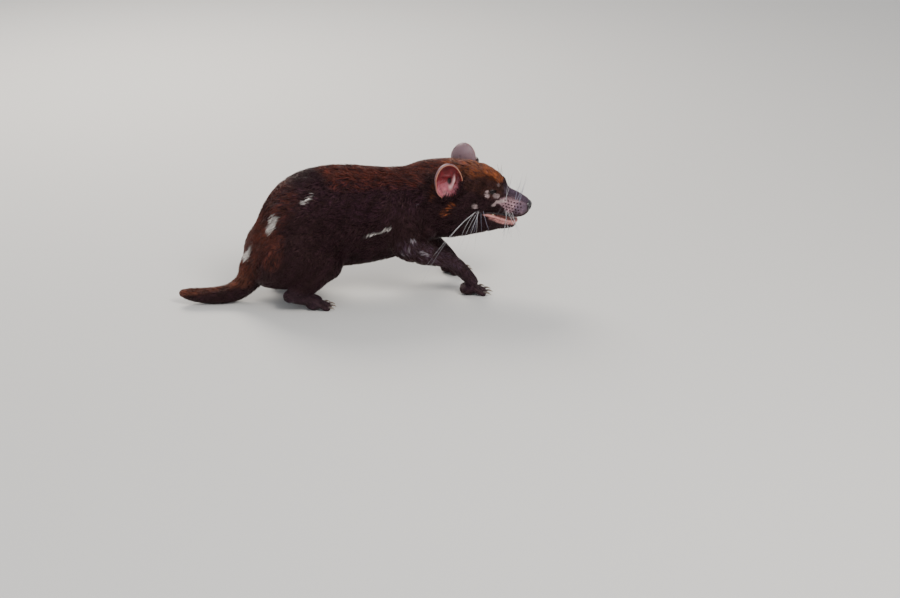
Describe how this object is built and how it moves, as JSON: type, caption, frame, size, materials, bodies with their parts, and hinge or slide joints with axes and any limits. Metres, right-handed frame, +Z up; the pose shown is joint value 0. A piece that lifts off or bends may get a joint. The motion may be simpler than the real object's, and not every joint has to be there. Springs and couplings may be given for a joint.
{
  "type": "tasmanian devil model",
  "caption": "Still life-size model of a crouching tasmanian devil, head low, forelegs braced forward, thick tail laid back on the floor.",
  "frame": {"origin": "on the floor under the middle of the animal's outline box", "axes": "+X along the body from tail to head, +Y towards the animal's left side, +Z up from the floor it stands on"},
  "size_m": [0.7356, 0.2012, 0.2988],
  "materials": {
    "coat": "short dense fur, brown-black with a red-brown sheen and a few small white patches",
    "tail_coat": "coarse fur, red-brown above and dark below",
    "foot_skin": "very short fur over dark skin",
    "ear_skin": "thin bare skin, deep red to pink",
    "nose_leather": "moist and black, finely pebbled",
    "eye": "wet gloss, nearly black",
    "claw": "worn horn, satin",
    "teeth": "glossy ivory",
    "mouth_skin": "wet pink skin of lips, gums and tongue",
    "whisker": "stiff pale and dark hairs"
  },
  "bodies": {
    "root": {"rump": "coat", "chest": "coat", "neck": "coat", "head": "coat", "lower_jaw": "coat", "nose": "nose_leather", "eye_right": "eye", "eye_left": "eye", "ear_right": "ear_skin", "ear_left": "ear_skin", "upper_arm_right": "coat", "upper_arm_left": "coat", "forearm_right": "coat", "forearm_left": "coat", "forefoot_right": "foot_skin", "forefoot_left": "foot_skin", "thigh_right": "coat", "thigh_left": "coat", "shank_right": "coat", "shank_left": "coat", "hindfoot_right": "foot_skin", "hindfoot_left": "foot_skin", "tail_root": "tail_coat", "tail_middle": "tail_coat", "tail_tip": "tail_coat", "claw_fore_right_1": "claw", "claw_fore_right_2": "claw", "claw_fore_right_3": "claw", "claw_fore_right_4": "claw", "claw_fore_right_5": "claw", "claw_fore_left_1": "claw", "claw_fore_left_2": "claw", "claw_fore_left_3": "claw", "claw_fore_left_4": "claw", "claw_fore_left_5": "claw", "claw_hind_right_1": "claw", "claw_hind_right_2": "claw", "claw_hind_right_3": "claw", "claw_hind_right_4": "claw", "claw_hind_left_1": "claw", "claw_hind_left_2": "claw", "claw_hind_left_3": "claw", "claw_hind_left_4": "claw"}
  },
  "joints": []
}
